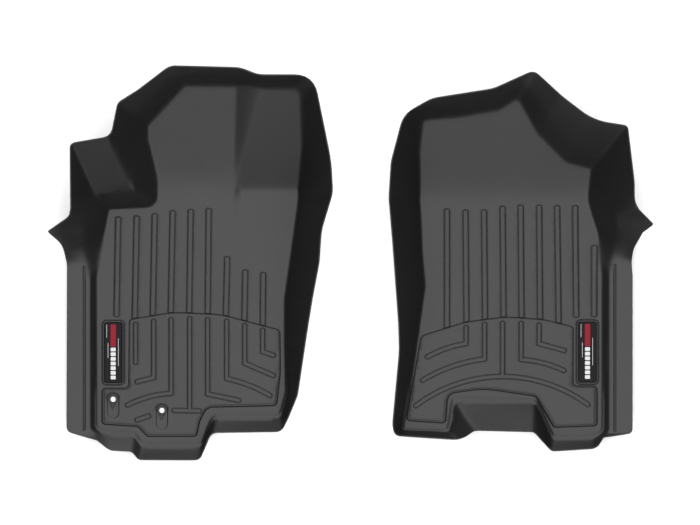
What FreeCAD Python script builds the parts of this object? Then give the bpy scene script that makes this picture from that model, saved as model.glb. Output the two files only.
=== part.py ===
import FreeCAD, Part
import math
import os

from FreeCAD import Vector

# A pair of moulded front floor liners for a vehicle: a driver mat with a footrest and two
# retention holes, and a passenger mat. Each one is a single formed sheet with a tray floor, a
# sloping toe board and drafted walls, and carries a badge held by adhesive tape in a pocket.
# World axes: +X to the right, +Y to the front of the vehicle, +Z up, the floor at z = 0.
# The origin is the middle of the set's footprint, on the ground.

os.makedirs("parts", exist_ok=True)

# ---------------------------------------------------------------- driving dimensions, mm

mat_length = 741.0  # rear edge to front lip of both mats
driver_width = 502.0  # outer edge of the sill flange to the widest point of the tunnel wall
passenger_width = 460.0  # the same on the passenger mat
mat_gap = 104.0  # clear distance between the two mats
wall_height = 205.0  # ground to the highest rim, at the front
sheet = 3.0  # thickness of the formed sheet
reservoir_drop = 2.0  # how far the fluid reservoir lies under the mat's floor
toe_angle = 30.0  # slope of the toe boards, degrees
fold_rise = 22.0  # how far the driver toe board steps up beside the pedals, at its top
sill_height = 24.0  # ground to the inner edge of the sill flange
sill_groove_width = 4.5
sill_groove_depth = 0.9
sill_groove_inset = 33.0  # outer edge of the flange to the groove
sill_groove_rear = 10.0  # how far the groove runs on past the flange's rear corner
sill_groove_front = 6.0  # where it stops behind the flange's front corner

rib_width = 9.0
rib_height = 1.5

badge_width = 31.5
badge_length = 112.0
badge_thickness = 1.8
badge_corner = 3.0
badge_clearance = 0.5  # all round the badge in its pocket
badge_border = 1.6  # width of the raised frame round the badge face
badge_border_height = 0.3
tape_thickness = 0.4
tape_margin = 2.5  # edge of the badge to edge of its tape
pocket_depth = 1.0
bead_width = 4.5  # raised bead round the pocket
bead_height = 1.0
emblem_length = 42.0
emblem_width = 10.0
emblem_inset = 1.2  # inside of the raised frame to the emblem
block_count = 7
block_length = 7.0
block_width = 9.5
block_gap = 1.8
line_width = 0.8
side_line_spread = 9.7  # middle of the badge to each of its fine lines
right_line_length = 52.0
left_line_length = 28.0
edge_line_spread = 12.2
edge_line_length = 25.0
inlay_rounding = 0.2  # corner radius as a share of an inlay's width
inlay_depth = 0.35
inlay_proud = 0.1
inlay_gap = 0.05  # clearance of an inlay in its recess

hole_radius = 5.6  # retention hole for the post in the vehicle's floor
well_width = 22.0
well_length = 48.0
well_depth = 1.2
hole_to_well_front = 12.0
collar_radius = 8.6
collar_tip = 18.0  # hole centre to the point of the collar
collar_height = 1.2
notch_start = 7.6  # hole centre to the near end of the notch in the collar
notch_end = 14.0
notch_half_width = 2.6
notch_depth = 0.8

# The plan outlines below are drawn for these overall sizes and stretch with the real ones.
drawn_length = 741.0
drawn_driver_width = 502.0
drawn_passenger_width = 460.0
drawn_height = 205.0

# ---------------------------------------------------------------- derived levels

floor_top = sheet + reservoir_drop  # top of the tray floor outside the reservoir
pan_top = sheet  # top of the reservoir floor
overlap = 0.6  # how far a fused feature reaches into the sheet
tall = 500.0  # longer than anything that is cut

# ---------------------------------------------------------------- outlines
# Each station on the way round a mat is a name, the wall's foot (x, y), its knee (x, y, z), its
# rim (x, y, z) and the corner radius of all three. x runs from the sill flange's outer edge to
# the tunnel, y from the rear edge to the front. The foot's height comes from the surface that
# it stands on: the floor behind the crease and the toe board in front of it.

driver_crease = 496.0
driver_stations = [
    ("sill_rear", (55, 60), (46, 57, 24), (1, 54, 27), 5),
    ("sill_front", (53, 369), (46, 369, 24), (0, 367, 27), 12),
    ("kick_low", (63, 405), (35, 402, 40), (-12, 407, 66), 14),
    ("kick_tip", (69, 428), (36, 430, 70), (-34, 428, 118), 2),
    ("kick_top", (74, 456), (40, 464, 86), (5, 462, 158), 12),
    ("pad_rear_left", (78, 473), (53, 496, 78), (7, 486, 166), 0),
    ("pad_front_left", (78, 473), (53, 496, 78), (9, 596, 170), 0),
    ("pad_rear_right", (158, 477), (129, 507, 80), (79, 606, 176), 0),
    ("pad_corner", (168, 486), (129, 507, 80), (79, 606, 176), 0),
    ("crease_left", (169, 496), (129, 507, 80), (79, 606, 176), 0),
    ("pad_ridge", (168, 535), (129, 507, 80), (79, 606, 176), 0),
    ("pad_front_right", (152, 604), (79, 606, 176), (79, 606, 176), 0),
    ("wall_front_left", (151, 630), (124, 650, 143), (96, 670, 197), 10),
    ("front_left", (223, 707), (209, 722, 166), (195, 741, 203), 18),
    ("fold_left", (319, 706), (322, 720, 166), (327, 738, 203), 0),
    ("fold_right", (374, 702), (369, 712, 174), (363, 724, 202), 0),
    ("front_right", (441, 702), (457, 712, 168), (472, 722, 194), 22),
    ("right_mid", (446, 594), (469, 596, 126), (489, 594, 178), 30),
    ("crease_right", (439, 496), (471, 496, 85), (502, 500, 158), 0),
    ("right_front", (435, 462), (463, 462, 77), (491, 462, 146), 20),
    ("right_kick", (426, 398), (451, 401, 62), (476, 405, 120), 30),
    ("right_waist", (412, 302), (438, 300, 60), (463, 299, 113), 60),
    ("right_low", (412, 222), (431, 224, 48), (449, 224, 88), 60),
    ("right_heel", (414, 126), (425, 128, 32), (435, 130, 56), 12),
    ("rear_right", (402, 86), (407, 71, 18), (411, 54, 31), 12),
    ("rear_inner", (277, 86), (273, 69, 16), (268, 52, 27), 16),
    ("lobe_right", (258, 32), (255, 16, 18), (252, 1, 31), 7),
    ("lobe_left", (141, 33), (138, 16, 18), (135, 1, 31), 7),
    ("lobe_front", (127, 54), (126, 35, 18), (122, 17, 30), 8),
    ("rear_left", (82, 56), (80, 38, 18), (78, 19, 30), 8),
    ("rear_sill", (66, 58), (61, 46, 17), (57, 35, 28), 4),
]
driver_fold_foot = 312.0  # x of the point where the fold of the toe board dies out at the crease
driver_fold_top = 702.0  # y at which the fold has its full rise

passenger_crease = 488.0
passenger_stations = [
    ("sill_rear", (56, 55), (45, 54, 24), (4, 52, 27), 5),
    ("sill_front", (55, 382), (45, 380, 24), (1, 371, 27), 12),
    ("kick_low", (59, 413), (34, 410, 42), (-4, 407, 62), 14),
    ("kick_tip", (65, 435), (30, 437, 70), (-36, 442, 108), 2),
    ("kick_top", (74, 464), (37, 466, 86), (-8, 466, 128), 12),
    ("crease_sill", (81, 488), (44, 490, 92), (-1, 496, 138), 0),
    ("kick_front", (76, 550), (46, 580, 122), (10, 631, 176), 9),
    ("arch_rear", (124, 562), (104, 596, 132), (75, 640, 186), 40),
    ("arch_front", (179, 618), (162, 648, 152), (137, 683, 200), 60),
    ("front_tip", (217, 686), (203, 707, 164), (187, 736, 205), 16),
    ("front_notch", (252, 661), (258, 678, 148), (264, 696, 190), 24),
    ("front_long", (324, 649), (345, 664, 138), (371, 680, 178), 24),
    ("front_tunnel", (396, 644), (415, 650, 134), (433, 652, 172), 14),
    ("tunnel_front", (403, 583), (428, 582, 112), (454, 583, 166), 30),
    ("crease_tunnel", (403, 488), (430, 490, 72), (460, 498, 138), 0),
    ("tunnel_kick", (398, 394), (424, 393, 60), (450, 401, 116), 30),
    ("tunnel_waist", (392, 328), (417, 324, 58), (442, 320, 110), 50),
    ("tunnel_low", (407, 222), (422, 223, 42), (438, 224, 78), 60),
    ("tunnel_heel", (420, 135), (432, 136, 31), (443, 137, 56), 30),
    ("rear_tunnel", (434, 56), (441, 50, 24), (450, 46, 42), 9),
    ("rear_rail", (349, 55), (341, 48, 18), (330, 38, 30), 9),
    ("rail_tunnel", (340, 120), (320, 86, 29), (297, 56, 52), 8),
    ("rail_sill", (182, 115), (182, 84, 29), (184, 53, 52), 12),
    ("rear_mid", (149, 46), (152, 31, 17), (155, 17, 29), 6),
    ("rear_sill_side", (75, 47), (73, 33, 17), (73, 21, 29), 8),
    ("rear_sill", (62, 50), (57, 44, 17), (52, 42, 27), 4),
]

# The reservoir's outline: corner points and their radii.
driver_reservoir = [
    (117, 262, 8),
    (199, 278, 140),
    (261, 274, 160),
    (402, 244, 10),
    (403, 165, 60),
    (395, 101, 9),
    (263, 98, 20),
    (250, 72, 20),
    (244, 43, 8),
    (152, 43, 8),
    (133, 62, 10),
    (66, 66, 8),
    (66, 134, 8),
    (116, 134, 9),
]
passenger_reservoir = [
    (398, 233, 12),
    (315, 259, 120),
    (239, 269, 160),
    (167, 264, 120),
    (110, 250, 9),
    (111, 138, 9),
    (66, 138, 8),
    (66, 63, 8),
    (147, 60, 6),
    (181, 119, 14),
    (281, 133, 160),
    (348, 124, 20),
    (352, 68, 8),
    (426, 73, 8),
]

# Ribs that run along the floor in front of the reservoir: front end (x, y), rear end (x, y).
driver_long_ribs = [
    ((96, 452), (93, 274)),
    ((131, 454), (127, 262)),
    ((165, 458), (161, 268)),
    ((199, 464), (195, 272)),
    ((233, 466), (230, 272)),
    ((267, 468), (265, 270)),
    ((302, 377), (299, 264)),
    ((336, 352), (334, 257)),
    ((370, 347), (369, 249)),
]
passenger_long_ribs = [
    ((349, 467), (349, 247)),
    ((314, 465), (312, 256)),
    ((279, 465), (277, 262)),
    ((244, 472), (242, 265)),
    ((210, 474), (208, 265)),
    ((175, 474), (173, 262)),
    ((141, 473), (138, 257)),
    ((107, 473), (105, 273)),
    ((71, 398), (71, 274)),
]

# Ribs in the reservoir. Two points are a straight bar, three an arc through the middle one.
driver_pan_ribs = [
    [[(129, 254), (129, 183)]],
    [[(163, 260), (163, 154)], [(163, 154), (132, 146)]],
    [[(196, 263), (196, 124)], [(196, 124), (152, 117), (114, 102)]],
    [[(231, 265), (231, 92)], [(202, 92), (249, 91)]],
    [[(132, 74), (153, 81)]],
    [[(265, 263), (265, 123)], [(265, 123), (323, 111)]],
    [[(301, 260), (301, 152)], [(301, 152), (347, 138), (383, 120)]],
    [[(335, 252), (335, 181)], [(335, 181), (389, 158)]],
    [[(369, 243), (369, 203)], [(369, 203), (389, 196)]],
]
passenger_pan_ribs = [
    [[(313, 248), (313, 218)], [(313, 218), (356, 207), (386, 193)]],
    [[(278, 254), (278, 189)], [(278, 189), (345, 173), (395, 149)]],
    [[(244, 256), (244, 156)], [(408, 101), (249, 156), (83, 103)]],
    [[(209, 256), (209, 188)], [(209, 188), (166, 181), (128, 167)]],
    [[(175, 253), (175, 218)], [(175, 218), (128, 205)]],
]

driver_badge_centre = (87, 201)
passenger_badge_centre = (84, 202)
retention_holes = [(87, 113), (179, 92)]


# ---------------------------------------------------------------- helpers


class Mat:
    """One mat's plan: turns outline coordinates into world ones."""

    def __init__(self, name, side, width, drawn_width, crease, stations):
        self.name = name
        self.side = side
        self.width = width
        self.stretch_x = width / drawn_width
        self.stretch_y = mat_length / drawn_length
        self.stretch_z = (wall_height - sill_height) / (drawn_height - sill_height)
        self.crease = crease * self.stretch_y
        self.stations = stations
        self.tilt = math.tan(math.radians(toe_angle))

    def x(self, across):
        return self.side * (mat_gap / 2 + self.width - across * self.stretch_x)

    def y(self, along):
        return along * self.stretch_y - mat_length / 2

    def z(self, height):
        """Heights under the sill flange stay, and those over it stretch with the walls."""
        if height <= sill_height:
            return height
        return sill_height + (height - sill_height) * self.stretch_z

    def at(self, point, height=0.0):
        return Vector(self.x(point[0]), self.y(point[1]), height)

    def crease_y(self):
        return self.crease - mat_length / 2


def solve_offset(normals, amount):
    """The move that puts a point `amount` behind every plane that it lies on."""
    move = Vector(0, 0, 0)
    for _ in range(400):
        for normal in normals:
            move = move + normal * (-amount - move.dot(normal))
    return move


def key(point):
    return (round(point.x, 3), round(point.y, 3), round(point.z, 3))


def same(a, b):
    return a.distanceToPoint(b) < 1e-4


def turn_between(before, here, after):
    u = (here - before).normalize()
    v = (after - here).normalize()
    return u, v, u.getAngle(v)


def rounded_loop(points, radii):
    """A closed run of (start, end, edge) through the points: a corner piece, then a side, for
    each point. A piece of no length has no edge."""
    count = len(points)
    corners = []
    for i in range(count):
        here = points[i]
        before = points[i - 1]
        after = points[(i + 1) % count]
        if radii[i] <= 0 or same(before, here) or same(here, after):
            corners.append((here, here, None))
            continue
        u, v, angle = turn_between(before, here, after)
        room = 0.45 * min(before.distanceToPoint(here), here.distanceToPoint(after))
        back = min(max(radii[i] * math.tan(angle / 2), 0.8), room)
        start = here - u * back
        end = here + v * back
        if angle < math.radians(1.0):
            corners.append((start, end, Part.LineSegment(start, end).toShape()))
            continue
        radius = back / math.tan(angle / 2)
        inward = (v - u).normalize()
        sag = radius * (1 / math.cos(angle / 2) - 1)
        middle = here + inward * sag
        corners.append((start, end, Part.Arc(start, middle, end).toShape()))
    run = []
    for i in range(count):
        run.append(corners[i])
        start = corners[i][1]
        end = corners[(i + 1) % count][0]
        if same(start, end):
            run.append((start, end, None))
        else:
            run.append((start, end, Part.LineSegment(start, end).toShape()))
    return run


def patch(lower, upper):
    """The face between two matching pieces of two loops, or None where it has no width."""
    ends = [lower[0], lower[1], upper[1], upper[0]]
    distinct = []
    for end in ends:
        if not any(same(end, other) for other in distinct):
            distinct.append(end)
    if len(distinct) < 3:
        return None
    if len(distinct) == 4:
        return Part.makeRuledSurface(lower[2], upper[2])
    edges = [piece[2] for piece in (lower, upper) if piece[2] is not None]
    for a, b in ((lower[1], upper[1]), (upper[0], lower[0])):
        if not same(a, b):
            edges.append(Part.LineSegment(a, b).toShape())
    ordered = Part.__sortEdges__(edges)
    return Part.Face(Part.Wire(ordered))


def band(lower, upper):
    faces = [patch(a, b) for a, b in zip(lower, upper)]
    return [face for face in faces if face is not None]


def facet_normal(a, b, c, d):
    """The upward normal of the quad a, b, c, d, or None where it has no area."""
    cross = (c - a).cross(d - b)
    if cross.Length < 1e-6:
        return None
    cross.normalize()
    return cross if cross.z > 0 else cross * -1.0


def outline_face(points, level):
    """A flat face at a level from (x, y, radius) corners in world coordinates."""
    loop = rounded_loop(
        [Vector(p[0], p[1], level) for p in points], [p[2] for p in points]
    )
    return Part.Face(Part.Wire([piece[2] for piece in loop if piece[2] is not None]))


def prism(face, height):
    return face.extrude(Vector(0, 0, height))


def rounded_rectangle(centre, width, length, radius, level):
    x, y = centre.x, centre.y
    w = width / 2
    h = length / 2
    corners = [(x - w, y - h), (x + w, y - h), (x + w, y + h), (x - w, y + h)]
    return outline_face([(a, b, radius) for a, b in corners], level)


def straight_bar(a, b, width, height):
    along = (b - a).normalize()
    out = Vector(-along.y, along.x, 0) * (width / 2)
    corners = [a - out, b - out, b + out, a + out]
    face = Part.Face(Part.makePolygon([*corners, corners[0]]))
    return prism(face, height)


def arc_bar(a, m, b, width, height):
    centre = Part.Arc(a, m, b).toShape().Curve.Center

    def shifted(point, amount):
        return point + (point - centre).normalize() * amount

    outer = [shifted(p, width / 2) for p in (a, m, b)]
    inner = [shifted(p, -width / 2) for p in (b, m, a)]
    edges = [
        Part.Arc(*outer).toShape(),
        Part.LineSegment(outer[2], inner[0]).toShape(),
        Part.Arc(*inner).toShape(),
        Part.LineSegment(inner[2], outer[0]).toShape(),
    ]
    return prism(Part.Face(Part.Wire(edges)), height)


def bar(mat, path, base):
    """A raised rib from its runs: rounded ends, standing rib_height over its floor."""
    level = base - overlap
    height = rib_height + overlap
    pieces = []
    for run in path:
        points = [mat.at(p, level) for p in run]
        if len(points) == 2:
            pieces.append(straight_bar(*points, rib_width, height))
        else:
            pieces.append(arc_bar(*points, rib_width, height))
        for end in (points[0], points[-1]):
            pieces.append(Part.makeCylinder(rib_width / 2, height, end))
    solid = pieces[0].multiFuse(pieces[1:])
    return solid.removeSplitter()


# ---------------------------------------------------------------- the formed sheet


def toe_height(y, rise_per_mm, crease_y, crease_z):
    return crease_z + (y - crease_y) * rise_per_mm


def shell_points(mat, fold):
    """The foot, knee and rim points of the top skin, and the corner radii."""
    feet = []
    knees = []
    rims = []
    radii = []
    for name, foot, knee, rim, radius in mat.stations:
        y = mat.y(foot[1])
        z = floor_top
        if y > mat.crease_y() + 0.5:
            slope = fold.slope_at(mat, name)
            z = toe_height(y, slope, mat.crease_y(), floor_top)
        feet.append(Vector(mat.x(foot[0]), y, z))
        knees.append(Vector(mat.x(knee[0]), mat.y(knee[1]), mat.z(knee[2])))
        rims.append(Vector(mat.x(rim[0]), mat.y(rim[1]), mat.z(rim[2])))
        radii.append(radius)
    return feet, knees, rims, radii


class Fold:
    """The step in the driver's toe board: a steeper part beside the pedals."""

    def __init__(self, names, foot_x, top_y):
        self.steep_names = names
        self.foot_x = foot_x
        self.top_y = top_y

    def slope_at(self, mat, name):
        if name not in self.steep_names:
            return mat.tilt
        run = mat.y(self.top_y) - mat.crease_y()
        return mat.tilt + fold_rise / run


def index_of(mat, name):
    return [station[0] for station in mat.stations].index(name)


def under_points(feet, knees, rims, bottoms):
    """The same points on the underside, one sheet thickness behind the top skin."""
    around = {}
    count = len(feet)

    def add(point, normal):
        if normal is not None:
            around.setdefault(key(point), []).append(normal)

    for i in range(count):
        j = (i + 1) % count
        low = facet_normal(feet[i], feet[j], knees[j], knees[i])
        high = facet_normal(knees[i], knees[j], rims[j], rims[i])
        for point in (feet[i], feet[j], knees[i], knees[j]):
            add(point, low)
        for point in (knees[i], knees[j], rims[i], rims[j]):
            add(point, high)
    for i in range(count):
        add(feet[i], bottoms[i])

    def behind(point):
        return point + solve_offset(around[key(point)], sheet)

    return [[behind(p) for p in row] for row in (feet, knees, rims)]


def formed_sheet(mat, fold, crease_names):
    """The closed solid of the sheet: top skin, underside and the trimmed edge."""
    feet, knees, rims, radii = shell_points(mat, fold)
    up = Vector(0, 0, 1)
    crease_y = mat.crease_y()
    bottoms = []
    for i, station in enumerate(mat.stations):
        slope = fold.slope_at(mat, station[0])
        toe = Vector(0, -slope, 1).normalize()
        bottoms.append(toe if feet[i].y > crease_y + 0.5 else up)
    under = under_points(feet, knees, rims, bottoms)
    crease_back = crease_y + sheet * math.tan(math.atan(mat.tilt) / 2)
    for i, station in enumerate(mat.stations):
        point = under[0][i]
        z = floor_top - sheet
        if station[0] in crease_names:
            point = Vector(point.x, crease_back, z)
        elif feet[i].y > crease_y + 0.5:
            slope = fold.slope_at(mat, station[0])
            z = toe_height(point.y, slope, crease_back, floor_top - sheet)
        under[0][i] = Vector(point.x, point.y, z)

    top_loops = [rounded_loop(row, radii) for row in (feet, knees, rims)]
    low_loops = [rounded_loop(row, radii) for row in under]
    faces = band(top_loops[0], top_loops[1]) + band(top_loops[1], top_loops[2])
    faces += band(low_loops[0], low_loops[1]) + band(low_loops[1], low_loops[2])
    faces += band(top_loops[2], low_loops[2])
    faces += bottom_faces(mat, fold, top_loops[0], crease_names, crease_y, floor_top)
    faces += bottom_faces(
        mat, fold, low_loops[0], crease_names, crease_back, floor_top - sheet
    )
    shell = Part.makeShell(faces)
    shell.sewShape(1e-3)
    solid = Part.makeSolid(shell)
    if solid.Volume < 0:
        solid.reverse()
    return solid


def bottom_faces(mat, fold, loop, crease_names, crease_y, level):
    """The floor and the toe board inside the foot of the walls. The loop has two pieces for
    each station, a corner and a side."""
    start = 2 * index_of(mat, crease_names[0])
    stop = 2 * index_of(mat, crease_names[1])
    front = [piece for piece in loop[start:stop] if piece[2] is not None]
    rear = [piece for piece in loop[stop:] + loop[:start] if piece[2] is not None]
    first = front[0][0]
    last = front[-1][1]
    if not fold.steep_names:
        across = Part.LineSegment(last, first).toShape()
        return [
            Part.Face(Part.Wire([piece[2] for piece in front] + [across])),
            Part.Face(Part.Wire([piece[2] for piece in rear] + [across])),
        ]
    apex = Vector(mat.x(fold.foot_x), crease_y, level)
    left_end = loop[2 * index_of(mat, "fold_left")][0]
    right_end = loop[2 * index_of(mat, "fold_right")][0]
    split_a = [i for i, piece in enumerate(front) if same(piece[0], left_end)][0]
    split_b = [i for i, piece in enumerate(front) if same(piece[0], right_end)][0]

    def line(a, b):
        return Part.LineSegment(a, b).toShape()

    gentle = [piece[2] for piece in front[:split_a]]
    step = [piece[2] for piece in front[split_a:split_b]]
    steep = [piece[2] for piece in front[split_b:]]
    floor = [piece[2] for piece in rear]
    wires = [
        gentle + [line(left_end, apex), line(apex, first)],
        step + [line(right_end, apex), line(apex, left_end)],
        steep + [line(last, apex), line(apex, right_end)],
        floor + [line(first, apex), line(apex, last)],
    ]
    return [Part.Face(Part.Wire(Part.__sortEdges__(wire))) for wire in wires]


# ---------------------------------------------------------------- features of the floor


def reservoir_faces(mat, corners, level, grow):
    face = outline_face(
        [(mat.x(x), mat.y(y), radius) for x, y, radius in corners], level
    )
    if grow == 0:
        return face
    return face.makeOffset2D(grow)


def with_reservoir(mat, solid, corners):
    """The reservoir is formed down into the floor, and its wall keeps the sheet's thickness."""
    pan = prism(reservoir_faces(mat, corners, 0.0, sheet), floor_top - overlap)
    room = prism(reservoir_faces(mat, corners, pan_top, 0), tall)
    return solid.fuse(pan).cut(room)


def with_badge_pocket(mat, solid, place):
    centre = mat.at(place, 0.0)
    width = badge_width + 2 * badge_clearance
    length = badge_length + 2 * badge_clearance
    bead = prism(
        rounded_rectangle(
            centre,
            width + 2 * bead_width,
            length + 2 * bead_width,
            badge_corner + bead_width,
            floor_top - overlap,
        ),
        bead_height + overlap,
    )
    pocket = prism(
        rounded_rectangle(
            centre,
            width,
            length,
            badge_corner + badge_clearance,
            floor_top - pocket_depth,
        ),
        tall,
    )
    return solid.fuse(bead).cut(pocket)


def stadium(centre, width, length, level):
    """Along y, round at both ends."""
    radius = width / 2
    straight = length / 2 - radius
    x, y = centre.x, centre.y
    a = Vector(x - radius, y - straight, level)
    b = Vector(x, y - straight - radius, level)
    c = Vector(x + radius, y - straight, level)
    d = Vector(x + radius, y + straight, level)
    e = Vector(x, y + straight + radius, level)
    f = Vector(x - radius, y + straight, level)
    edges = [
        Part.Arc(a, b, c).toShape(),
        Part.LineSegment(c, d).toShape(),
        Part.Arc(d, e, f).toShape(),
        Part.LineSegment(f, a).toShape(),
    ]
    return Part.Face(Part.Wire(edges))


def teardrop(centre, radius, tip, level):
    """A circle round the centre with a point `tip` behind it."""
    spread = math.acos(radius / tip)
    touch_x = radius * math.sin(spread)
    touch_y = radius * math.cos(spread)
    x, y = centre.x, centre.y
    right = Vector(x + touch_x, y - touch_y, level)
    left = Vector(x - touch_x, y - touch_y, level)
    front = Vector(x, y + radius, level)
    point = Vector(x, y - tip, level)
    edges = [
        Part.Arc(right, front, left).toShape(),
        Part.LineSegment(left, point).toShape(),
        Part.LineSegment(point, right).toShape(),
    ]
    return Part.Face(Part.Wire(edges))


def with_retention_hole(mat, solid, place):
    """A recess with a collar round the hole that drops over the vehicle's retention post."""
    hole = mat.at(place, 0.0)
    well = hole + Vector(0, hole_to_well_front - well_length / 2, 0)
    well_floor = pan_top - well_depth
    recess = prism(stadium(well, well_width, well_length, well_floor), tall)
    collar = prism(
        teardrop(hole, collar_radius, collar_tip, well_floor - overlap),
        collar_height + overlap,
    )
    notch_floor = well_floor + collar_height - notch_depth
    a = Vector(hole.x - notch_half_width, hole.y - notch_start, notch_floor)
    b = Vector(hole.x + notch_half_width, hole.y - notch_start, notch_floor)
    c = Vector(hole.x, hole.y - notch_end, notch_floor)
    notch = prism(Part.Face(Part.makePolygon([a, b, c, a])), tall)
    bore = Part.makeCylinder(hole_radius, tall, hole - Vector(0, 0, tall / 2))
    return solid.cut(recess).fuse(collar).cut(notch).cut(bore)


def with_sill_groove(mat, solid):
    """A narrow groove along the sill flange."""
    rear = mat.stations[index_of(mat, "sill_rear")]
    front = mat.stations[index_of(mat, "sill_front")]
    knee = rear[2]
    rim = rear[3]
    share = (knee[0] - sill_groove_inset) / (knee[0] - rim[0])
    surface = mat.z(knee[2]) + share * (mat.z(rim[2]) - mat.z(knee[2]))
    level = surface - sill_groove_depth
    start = mat.at((sill_groove_inset, rim[1] - sill_groove_rear), level)
    end = mat.at((sill_groove_inset, front[3][1] - sill_groove_front), level)
    groove = straight_bar(start, end, sill_groove_width, tall)
    return solid.cut(groove)


def with_ribs(mat, solid, long_ribs, pan_ribs, reservoir):
    """Ribs in front of the reservoir run down to its edge, and its own ribs stand in it."""
    room = prism(reservoir_faces(mat, reservoir, 0.0, 0), tall)
    ribs = [bar(mat, [list(rib)], floor_top).cut(room) for rib in long_ribs]
    ribs += [bar(mat, path, pan_top) for path in pan_ribs]
    return solid.multiFuse(ribs)


# ---------------------------------------------------------------- badges


def badge_parts(mat, place):
    """The tape, the plate and its two sets of inlays, stacked in the pocket."""
    centre = mat.at(place, 0.0)
    tape_level = floor_top - pocket_depth
    plate_level = tape_level + tape_thickness
    face_level = plate_level + badge_thickness
    tape = prism(
        rounded_rectangle(
            centre,
            badge_width - 2 * tape_margin,
            badge_length - 2 * tape_margin,
            badge_corner,
            tape_level,
        ),
        tape_thickness,
    )
    plate = prism(
        rounded_rectangle(
            centre, badge_width, badge_length, badge_corner, plate_level
        ),
        badge_thickness + badge_border_height,
    )
    inside = prism(
        rounded_rectangle(
            centre,
            badge_width - 2 * badge_border,
            badge_length - 2 * badge_border,
            badge_corner - badge_border,
            face_level,
        ),
        tall,
    )
    plate = plate.cut(inside)

    front_end = badge_length / 2 - badge_border - emblem_inset
    emblem_spots = [(0.0, front_end - emblem_length / 2, emblem_width, emblem_length)]
    blocks_front = front_end - emblem_length - block_gap
    pitch = block_length + block_gap
    bar_spots = [
        (0.0, blocks_front - block_length / 2 - i * pitch, block_width, block_length)
        for i in range(block_count)
    ]
    lines_front = blocks_front + 2 * pitch
    for x, front, length in (
        (side_line_spread, lines_front, right_line_length),
        (-side_line_spread, blocks_front + pitch, left_line_length),
        (-edge_line_spread, front_end, edge_line_length),
    ):
        bar_spots.append((x, front - length / 2, line_width, length))

    def inlays(spots):
        """The inlays and the recesses that hold them."""
        bodies = []
        for x, y, width, length in spots:
            middle = centre + Vector(x, y, 0)
            corner = min(width, length) * inlay_rounding
            recess = rounded_rectangle(
                middle, width, length, corner, face_level - inlay_depth
            )
            body = rounded_rectangle(
                middle,
                width - 2 * inlay_gap,
                length - 2 * inlay_gap,
                corner - inlay_gap,
                face_level - inlay_depth,
            )
            bodies.append((prism(recess, tall), prism(body, inlay_depth + inlay_proud)))
        return bodies

    emblem = inlays(emblem_spots)
    bars = inlays(bar_spots)
    for recess, _ in emblem + bars:
        plate = plate.cut(recess)
    return {
        "badge_tape": tape,
        "badge_plate": plate,
        "badge_emblem": emblem[0][1],
        "badge_bars": Part.makeCompound([body for _, body in bars]),
    }


# ---------------------------------------------------------------- the two mats


def make_liner(mat, fold, crease_names, reservoir, ribs, pan_ribs, badge, holes):
    solid = formed_sheet(mat, fold, crease_names)
    solid = with_reservoir(mat, solid, reservoir)
    solid = with_sill_groove(mat, solid)
    solid = with_ribs(mat, solid, ribs, pan_ribs, reservoir)
    solid = with_badge_pocket(mat, solid, badge)
    for hole in holes:
        solid = with_retention_hole(mat, solid, hole)
    return solid.removeSplitter()


driver = Mat(
    "driver", -1, driver_width, drawn_driver_width, driver_crease, driver_stations
)
passenger = Mat(
    "passenger",
    1,
    passenger_width,
    drawn_passenger_width,
    passenger_crease,
    passenger_stations,
)
driver_fold = Fold(
    ["fold_right", "front_right", "right_mid"], driver_fold_foot, driver_fold_top
)
no_fold = Fold([], 0.0, 0.0)

shapes = {}
shapes["driver_liner"] = make_liner(
    driver,
    driver_fold,
    ("crease_left", "crease_right"),
    driver_reservoir,
    driver_long_ribs,
    driver_pan_ribs,
    driver_badge_centre,
    retention_holes,
)
shapes["passenger_liner"] = make_liner(
    passenger,
    no_fold,
    ("crease_sill", "crease_tunnel"),
    passenger_reservoir,
    passenger_long_ribs,
    passenger_pan_ribs,
    passenger_badge_centre,
    [],
)
for mat, place in ((driver, driver_badge_centre), (passenger, passenger_badge_centre)):
    for part_name, shape in badge_parts(mat, place).items():
        shapes[mat.name + "_" + part_name] = shape

# The origin goes to the middle of the set's footprint, on the ground.
box = Part.makeCompound(list(shapes.values())).BoundBox
to_origin = Vector(-box.Center.x, -box.Center.y, -box.ZMin)
for name, shape in shapes.items():
    placed = shape.translated(to_origin)
    placed.exportStep("parts/" + name + ".step")
    print(name, len(placed.Solids), "solids, valid:", placed.isValid())
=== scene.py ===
import math
from functools import partial

import bpy
import numpy as np
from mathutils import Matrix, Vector
from mathutils.geometry import delaunay_2d_cdt
from mathutils.kdtree import KDTree


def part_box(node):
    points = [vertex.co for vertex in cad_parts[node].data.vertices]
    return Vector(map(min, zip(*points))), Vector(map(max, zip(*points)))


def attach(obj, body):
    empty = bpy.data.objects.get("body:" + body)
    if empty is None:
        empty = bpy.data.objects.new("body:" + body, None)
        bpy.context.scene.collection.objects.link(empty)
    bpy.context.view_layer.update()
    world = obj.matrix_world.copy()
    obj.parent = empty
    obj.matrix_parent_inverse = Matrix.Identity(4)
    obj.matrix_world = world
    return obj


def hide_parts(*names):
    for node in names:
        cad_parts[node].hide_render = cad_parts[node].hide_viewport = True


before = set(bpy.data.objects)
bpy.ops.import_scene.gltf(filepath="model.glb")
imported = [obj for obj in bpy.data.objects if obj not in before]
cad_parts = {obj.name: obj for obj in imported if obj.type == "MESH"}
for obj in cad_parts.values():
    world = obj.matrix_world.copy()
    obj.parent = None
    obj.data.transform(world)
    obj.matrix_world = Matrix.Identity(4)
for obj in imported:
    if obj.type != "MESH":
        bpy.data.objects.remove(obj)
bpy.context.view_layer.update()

bl_info = {
    "name": "Front floor liner set",
    "version": (1, 0, 0),
    "blender": (4, 5, 0),
    "location": "View3D > Sidebar > Floor Liners",
    "description": "Models the formed sheets, badges and studio of a pair of floor liners",
    "category": "Object",
}

MM = 0.001

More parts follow.
